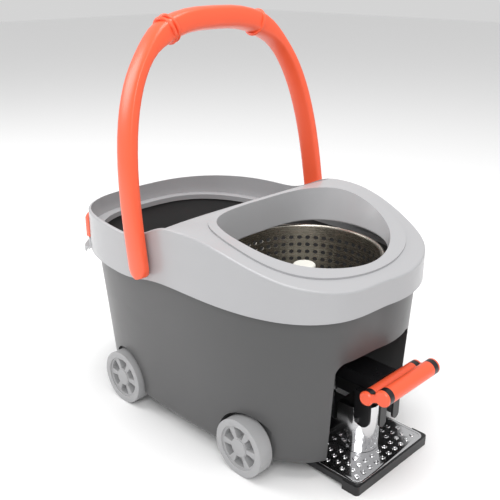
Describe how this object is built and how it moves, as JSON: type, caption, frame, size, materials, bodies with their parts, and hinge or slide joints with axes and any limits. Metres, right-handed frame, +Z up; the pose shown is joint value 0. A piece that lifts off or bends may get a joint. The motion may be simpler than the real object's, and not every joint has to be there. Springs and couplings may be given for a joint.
{
  "type": "spin mop wringer bucket",
  "caption": "Wheeled spin-mop bucket with a rinse tub, perforated spin basket under a shaped deck opening, foot-pedal drive and a swinging carry handle.",
  "frame": {"origin": "floor level, at the centre of the overall footprint", "axes": "+X towards the foot pedal, +Y to the left-hand side, +Z up"},
  "size_m": [0.504, 0.332, 0.5143],
  "materials": {
    "tub_grey": "satin moulded plastic",
    "collar_grey": "smooth light grey plastic",
    "orange": "smooth orange plastic",
    "wheel_grey": "satin plastic",
    "stainless": "brushed stainless",
    "polished_stainless": "polished stainless",
    "black_plastic": "satin black plastic",
    "black_rubber": "soft rubber",
    "hub_white": "smooth off-white plastic",
    "gear_plastic": "natural acetal",
    "steel": "zinc-plated steel"
  },
  "bodies": {
    "bucket": {"bucket_body": "tub_grey", "top_collar": "collar_grey", "basket_guard": "collar_grey", "rear_grip": "collar_grey", "rear_grip_pad": "orange", "wheel_axles": "steel", "shaft_bush": "gear_plastic", "shaft_seal": "black_rubber", "lower_bearing": "gear_plastic", "step_gear_pin": "steel", "gearbox_base": "black_plastic", "gearbox_cover": "black_plastic", "gearbox_screws": "steel", "pivot_bracket": "steel", "pedal_shaft": "steel", "mechanism_cover": "polished_stainless", "base_tray": "black_plastic", "foot_plate": "polished_stainless", "tray_screws": "steel", "tray_feet": "black_rubber", "lever_bushes": "gear_plastic", "return_spring": "steel", "wheel_fairing_rear_right": "wheel_grey", "wheel_fairing_rear_left": "wheel_grey", "wheel_fairing_front_right": "wheel_grey", "wheel_fairing_front_left": "wheel_grey"},
    "handle": {"carry_handle": "orange", "handle_grip": "orange", "grip_rings": "orange", "handle_pivot_pins": "collar_grey"},
    "basket": {"basket_bowl": "stainless", "basket_base": "black_plastic", "basket_hub": "hub_white", "drive_shaft": "steel", "shaft_circlip": "steel"},
    "pedal": {"pedal_lever": "black_plastic", "rack_pin": "steel", "treadle_bracket": "black_plastic", "treadle_sleeve_front": "orange", "treadle_sleeve_rear": "orange", "treadle_cap_right": "orange", "treadle_cap_left": "orange", "bracket_screws": "steel", "tab_bolts": "steel"},
    "rack": {"drive_rack": "gear_plastic"},
    "step_gear": {"step_gear": "gear_plastic"},
    "output_gear": {"output_gear": "gear_plastic", "clutch_sleeve": "steel"},
    "push_rod": {"push_rod": "steel"},
    "wheel_rear_right": {"wheel_rear_right": "wheel_grey", "hub_cap_rear_right": "wheel_grey"},
    "wheel_rear_left": {"wheel_rear_left": "wheel_grey", "hub_cap_rear_left": "wheel_grey"},
    "wheel_front_right": {"wheel_front_right": "wheel_grey", "hub_cap_front_right": "wheel_grey"},
    "wheel_front_left": {"wheel_front_left": "wheel_grey", "hub_cap_front_left": "wheel_grey"}
  },
  "joints": [
    {"name": "handle_swing", "type": "hinge", "parent": "bucket", "child": "handle", "pos_m": [-0.033, 0, 0.23], "axis": [0, 1, 0], "range_deg": [-80, 95]},
    {"name": "basket_spin", "type": "hinge", "parent": "bucket", "child": "basket", "pos_m": [0.085, 0, 0.18], "axis": [0, 0, 1], "continuous": true},
    {"name": "pedal_press", "type": "hinge", "parent": "bucket", "child": "pedal", "pos_m": [0.104, 0, 0.112], "axis": [0, 1, 0], "range_deg": [0, 12], "stiffness_Nm_per_rad": 8, "springref_deg": -8.59},
    {"name": "rack_slide", "type": "slide", "parent": "bucket", "child": "rack", "axis": [-1, 0, 0], "range_m": [0, 0.0181]},
    {"name": "step_gear_turn", "type": "hinge", "parent": "bucket", "child": "step_gear", "pos_m": [0.053, 0, 0.031], "axis": [0, 0, 1], "range_deg": [-173, 0]},
    {"name": "output_gear_turn", "type": "hinge", "parent": "bucket", "child": "output_gear", "pos_m": [0.085, 0, 0.036], "axis": [0, 0, 1], "range_deg": [0, 380]},
    {"name": "push_rod_slide", "type": "slide", "parent": "bucket", "child": "push_rod", "axis": [0, 0, 1], "range_m": [-0.0171, 0], "deforming": ["return_spring"]},
    {"name": "wheel_rear_right_roll", "type": "hinge", "parent": "bucket", "child": "wheel_rear_right", "pos_m": [-0.115, -0.128, 0.0364], "axis": [0, 1, 0], "continuous": true},
    {"name": "wheel_rear_left_roll", "type": "hinge", "parent": "bucket", "child": "wheel_rear_left", "pos_m": [-0.115, 0.128, 0.0364], "axis": [0, 1, 0], "continuous": true},
    {"name": "wheel_front_right_roll", "type": "hinge", "parent": "bucket", "child": "wheel_front_right", "pos_m": [0.1095, -0.128, 0.0364], "axis": [0, 1, 0], "continuous": true},
    {"name": "wheel_front_left_roll", "type": "hinge", "parent": "bucket", "child": "wheel_front_left", "pos_m": [0.1095, 0.128, 0.0364], "axis": [0, 1, 0], "continuous": true}
  ],
  "couplings": [
    {"joint": "rack_slide", "follows": "pedal_press", "m_per_rad": 0.086},
    {"joint": "step_gear_turn", "follows": "pedal_press", "ratio": -14.333},
    {"joint": "output_gear_turn", "follows": "pedal_press", "ratio": 31.533},
    {"joint": "push_rod_slide", "follows": "pedal_press", "m_per_rad": -0.081}
  ]
}
